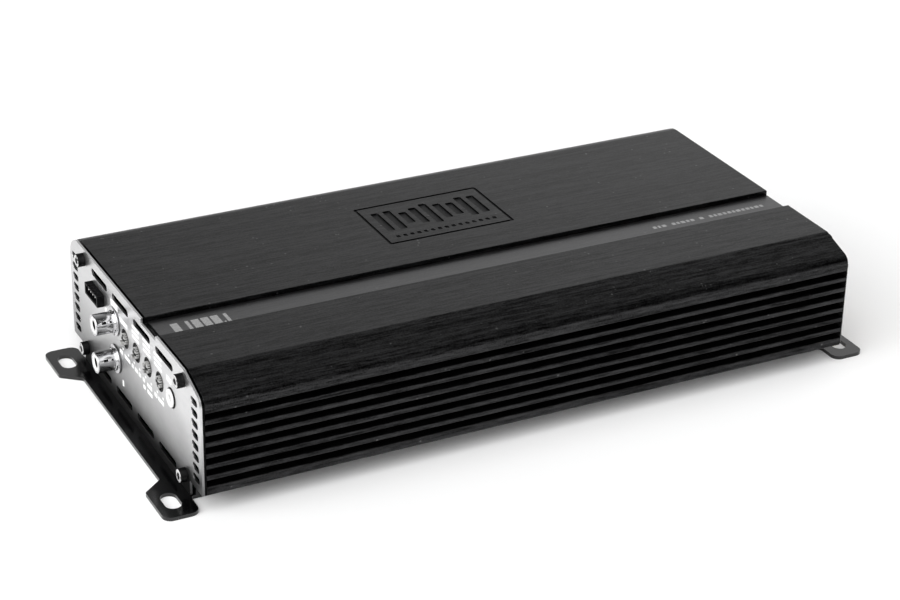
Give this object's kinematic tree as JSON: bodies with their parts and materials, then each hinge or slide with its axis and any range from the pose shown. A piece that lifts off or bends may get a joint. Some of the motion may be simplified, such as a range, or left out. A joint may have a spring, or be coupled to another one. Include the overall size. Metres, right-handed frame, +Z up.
{
  "type": "car amplifier",
  "caption": "Flat finned car audio amplifier with slotted mounting feet, line inputs and turning controls at one end and power, speaker and fuse connections at the other.",
  "frame": {"origin": "centre of the footprint, on the plane the feet stand on", "axes": "+X along the length from the control end to the terminal end, +Y across the width, +Z up"},
  "size_m": [0.3106, 0.144, 0.0532],
  "materials": {
    "shell_anodised": "black anodised, brushed along its length",
    "strip_satin": "satin grey anodised strip",
    "plate_silver": "satin silver plate",
    "gasket_foam": "matt black foam",
    "tray_black": "black gloss paint",
    "screw_black": "black oxide",
    "jack_chrome": "bright plated",
    "jack_white": "moulded white plastic",
    "contact_plated": "plated contact",
    "moulded_black": "moulded black plastic",
    "control_grey": "moulded light grey plastic",
    "barrel_nickel": "nickel plated",
    "fuse_shell": "translucent amber plastic",
    "lamp_clear": "clear tinted lens",
    "board_green": "solder-masked board",
    "post_brass": "turned brass",
    "core_ferrite": "coated ferrite",
    "winding_copper": "enamelled copper wire",
    "capacitor_sleeve": "shrink sleeve",
    "pad_grey": "thermal pad",
    "bar_steel": "plain steel"
  },
  "bodies": {
    "amplifier": {"heatsink_shell": "shell_anodised", "label_strip": "strip_satin", "control_end_plate": "plate_silver", "terminal_end_plate": "plate_silver", "control_end_gasket": "gasket_foam", "control_plate_screws": "screw_black", "terminal_plate_screws": "screw_black", "bottom_tray": "tray_black", "tray_screws": "screw_black", "rca_shells": "jack_chrome", "rca_insulators": "jack_white", "rca_centre_contacts": "contact_plated", "rca_block": "moulded_black", "control_pot_bodies": "moulded_black", "remote_jack_body": "moulded_black", "remote_jack_nut": "jack_chrome", "high_level_header": "moulded_black", "header_pins": "contact_plated", "power_terminal_housing": "moulded_black", "power_terminal_barrels": "barrel_nickel", "power_terminal_screws": "bar_steel", "speaker_terminal_housing": "moulded_black", "speaker_terminal_barrels": "barrel_nickel", "speaker_terminal_screws": "bar_steel", "fuse_holder": "moulded_black", "fuse_clips": "contact_plated", "status_led": "lamp_clear", "main_board": "board_green", "board_screws": "bar_steel", "preamp_board": "board_green", "preamp_standoffs": "post_brass", "transformer_core": "core_ferrite", "transformer_winding": "winding_copper", "inductor_core": "core_ferrite", "inductor_winding": "winding_copper", "reservoir_capacitors": "capacitor_sleeve", "power_transistors": "moulded_black", "thermal_pads": "pad_grey", "clamp_bars": "bar_steel", "clamp_screws": "bar_steel"},
    "gain_knob": {"gain_control": "control_grey"},
    "crossover_knob": {"crossover_control": "control_grey"},
    "boost_knob": {"boost_control": "control_grey"},
    "phase_knob": {"phase_control": "control_grey"},
    "fuse_a": {"blade_fuse_a": "fuse_shell"},
    "fuse_b": {"blade_fuse_b": "fuse_shell"}
  },
  "joints": [
    {"name": "gain_turn", "type": "hinge", "parent": "amplifier", "child": "gain_knob", "pos_m": [-0.1409, -0.0303, 0.0353], "axis": [-1, 0, 0], "range_deg": [-140, 140]},
    {"name": "crossover_turn", "type": "hinge", "parent": "amplifier", "child": "crossover_knob", "pos_m": [-0.1409, -0.0177, 0.0353], "axis": [-1, 0, 0], "range_deg": [-140, 140]},
    {"name": "boost_turn", "type": "hinge", "parent": "amplifier", "child": "boost_knob", "pos_m": [-0.1409, -0.0051, 0.0353], "axis": [-1, 0, 0], "range_deg": [-140, 140]},
    {"name": "phase_turn", "type": "hinge", "parent": "amplifier", "child": "phase_knob", "pos_m": [-0.1409, 0.0075, 0.0353], "axis": [-1, 0, 0], "range_deg": [-140, 140]},
    {"name": "fuse_a_pull", "type": "slide", "parent": "amplifier", "child": "fuse_a", "axis": [1, 0, 0], "range_m": [0, 0.02]},
    {"name": "fuse_b_pull", "type": "slide", "parent": "amplifier", "child": "fuse_b", "axis": [1, 0, 0], "range_m": [0, 0.02]}
  ]
}
